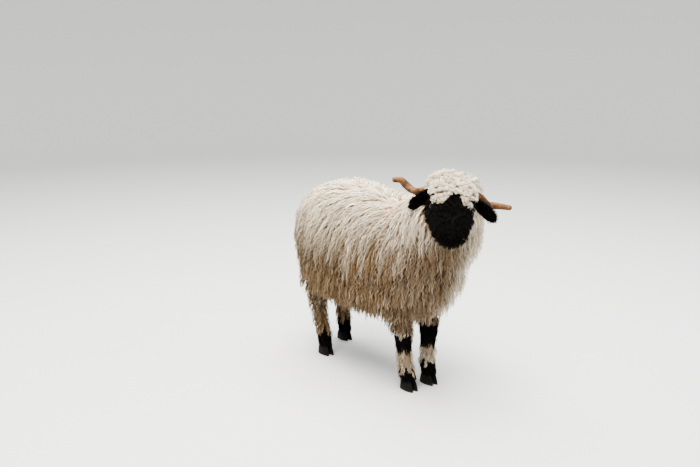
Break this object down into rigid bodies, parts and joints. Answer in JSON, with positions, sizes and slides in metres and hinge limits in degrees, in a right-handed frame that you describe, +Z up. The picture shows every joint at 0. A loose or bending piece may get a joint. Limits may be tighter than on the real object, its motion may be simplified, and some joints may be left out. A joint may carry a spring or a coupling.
{
  "type": "valais blacknose sheep",
  "caption": "Life-size horned long-wool ewe, cream coat, black face, ears, knees and feet, standing with the head turned to her right.",
  "frame": {"origin": "on the floor under the middle of the whole animal's box", "axes": "+Z up, the ewe faces -Y, her left side is towards +X"},
  "size_m": [0.5012, 1.2138, 0.9408],
  "materials": {
    "fleece": "long wavy cream wool, matt",
    "black_wool": "short fuzzy black wool, matt",
    "horn": "ridged horn, satin",
    "eye": "wet eye, glossy",
    "hoof": "black hoof horn, worn"
  },
  "bodies": {
    "root": {"torso": "fleece", "neck": "fleece", "tail": "fleece", "leg_front_left": "fleece", "leg_front_right": "fleece", "leg_hind_left": "fleece", "leg_hind_right": "fleece", "head": "black_wool", "topknot": "fleece", "ear_left": "black_wool", "ear_right": "black_wool", "horn_left": "horn", "horn_right": "horn", "eye_left": "eye", "eye_right": "eye", "hoof_front_left_inner": "hoof", "hoof_front_left_outer": "hoof", "hoof_front_right_inner": "hoof", "hoof_front_right_outer": "hoof", "hoof_hind_left_inner": "hoof", "hoof_hind_left_outer": "hoof", "hoof_hind_right_inner": "hoof", "hoof_hind_right_outer": "hoof"}
  },
  "joints": []
}
